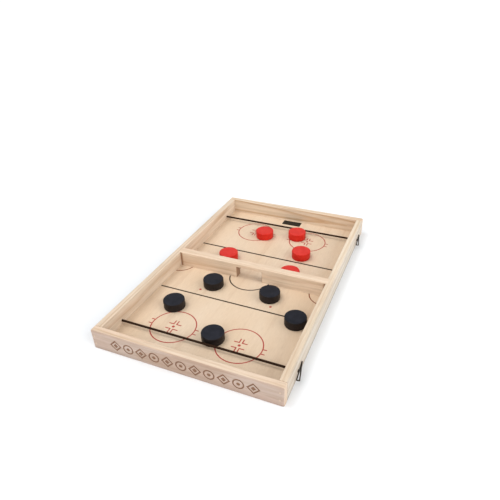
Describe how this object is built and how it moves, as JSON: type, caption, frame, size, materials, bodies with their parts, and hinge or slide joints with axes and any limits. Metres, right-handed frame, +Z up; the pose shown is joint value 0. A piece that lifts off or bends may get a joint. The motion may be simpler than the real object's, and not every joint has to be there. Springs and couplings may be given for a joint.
{
  "type": "table-top sling puck board",
  "caption": "Open pine tray with a gated centre divider, an elastic cord stretched across each end, and loose round wooden pucks to sling through the gate.",
  "frame": {"origin": "middle of the tray underside, on the surface it stands on", "axes": "+X across the tray, +Y along the tray towards the far end (the end rail without the carved frieze), +Z up"},
  "size_m": [0.227, 0.35, 0.024],
  "materials": {
    "pine_rail": "sanded, unvarnished pine",
    "pine_divider": "sanded, unvarnished pine",
    "plywood_floor": "smooth birch plywood with a printed rink",
    "elastic_cord": "braided elastic",
    "dark_metal": "blackened wire",
    "steel_nail": "bright nail steel",
    "black_paint": "satin black paint on wood",
    "red_paint": "satin red paint on wood"
  },
  "bodies": {
    "tray": {"floor_panel": "plywood_floor", "near_end_rail": "pine_rail", "far_end_rail": "pine_rail", "left_side_rail": "pine_rail", "right_side_rail": "pine_rail", "centre_divider": "pine_divider", "corner_brads": "steel_nail", "rim_pins": "steel_nail", "divider_pins": "steel_nail", "near_left_cord_tail": "elastic_cord", "near_left_ferrule": "dark_metal", "near_left_toggle": "dark_metal", "near_right_cord_tail": "elastic_cord", "near_right_ferrule": "dark_metal", "near_right_toggle": "dark_metal", "far_left_cord_tail": "elastic_cord", "far_left_ferrule": "dark_metal", "far_left_toggle": "dark_metal", "far_right_cord_tail": "elastic_cord", "far_right_ferrule": "dark_metal", "far_right_toggle": "dark_metal"},
    "near_left_cord": {"near_left_cord_half": "elastic_cord"},
    "near_right_cord": {"near_right_cord_half": "elastic_cord"},
    "far_left_cord": {"far_left_cord_half": "elastic_cord"},
    "far_right_cord": {"far_right_cord_half": "elastic_cord"},
    "black_puck_1": {"black_puck_1": "black_paint"},
    "black_puck_2": {"black_puck_2": "black_paint"},
    "black_puck_3": {"black_puck_3": "black_paint"},
    "black_puck_4": {"black_puck_4": "black_paint"},
    "black_puck_5": {"black_puck_5": "black_paint"},
    "red_puck_1": {"red_puck_1": "red_paint"},
    "red_puck_2": {"red_puck_2": "red_paint"},
    "red_puck_3": {"red_puck_3": "red_paint"},
    "red_puck_4": {"red_puck_4": "red_paint"},
    "red_puck_5": {"red_puck_5": "red_paint"}
  },
  "joints": [
    {"name": "near_left_cord_draw", "type": "hinge", "parent": "tray", "child": "near_left_cord", "pos_m": [-0.0995, -0.1355, 0.0085], "axis": [0, 0, -1], "range_deg": [0, 16], "stiffness_Nm_per_rad": 0.05},
    {"name": "near_right_cord_draw", "type": "hinge", "parent": "tray", "child": "near_right_cord", "pos_m": [0.0995, -0.1355, 0.0085], "axis": [0, 0, 1], "range_deg": [0, 16], "stiffness_Nm_per_rad": 0.05},
    {"name": "far_left_cord_draw", "type": "hinge", "parent": "tray", "child": "far_left_cord", "pos_m": [-0.0995, 0.1355, 0.0085], "axis": [0, 0, 1], "range_deg": [0, 16], "stiffness_Nm_per_rad": 0.05},
    {"name": "far_right_cord_draw", "type": "hinge", "parent": "tray", "child": "far_right_cord", "pos_m": [0.0995, 0.1355, 0.0085], "axis": [0, 0, -1], "range_deg": [0, 16], "stiffness_Nm_per_rad": 0.05},
    {"name": "black_puck_1_slide", "type": "slide", "parent": "tray", "child": "black_puck_1", "axis": [-0.04, 0.9992, 0], "range_m": [-0.0885, 0.0142]},
    {"name": "black_puck_2_slide", "type": "slide", "parent": "tray", "child": "black_puck_2", "axis": [0, 1, 0], "range_m": [-0.0898, 0.0129]},
    {"name": "black_puck_3_slide", "type": "slide", "parent": "tray", "child": "black_puck_3", "axis": [-0.0499, 0.9988, 0], "range_m": [-0.0345, 0.0682]},
    {"name": "black_puck_4_slide", "type": "slide", "parent": "tray", "child": "black_puck_4", "axis": [0, 1, 0], "range_m": [-0.0559, 0.0468]},
    {"name": "black_puck_5_slide", "type": "slide", "parent": "tray", "child": "black_puck_5", "axis": [-0.046, 0.9989, 0], "range_m": [0, 0.1433]},
    {"name": "red_puck_1_slide", "type": "slide", "parent": "tray", "child": "red_puck_1", "axis": [-0.02, 0.9998, 0], "range_m": [-0.0673, 0.0159]},
    {"name": "red_puck_2_slide", "type": "slide", "parent": "tray", "child": "red_puck_2", "axis": [0.0798, 0.9968, 0], "range_m": [-0.0753, 0.0021]},
    {"name": "red_puck_3_slide", "type": "slide", "parent": "tray", "child": "red_puck_3", "axis": [0.0798, 0.9968, 0], "range_m": [-0.0261, 0.051]},
    {"name": "red_puck_4_slide", "type": "slide", "parent": "tray", "child": "red_puck_4", "axis": [-0.0499, 0.9988, 0], "range_m": [-0.0132, 0.0896]},
    {"name": "red_puck_5_slide", "type": "slide", "parent": "tray", "child": "red_puck_5", "axis": [1, 0, 0], "range_m": [-0.0175, 0.04]}
  ],
  "couplings": [
    {"joint": "near_right_cord_draw", "follows": "near_left_cord_draw", "ratio": 1},
    {"joint": "far_right_cord_draw", "follows": "far_left_cord_draw", "ratio": 1}
  ]
}
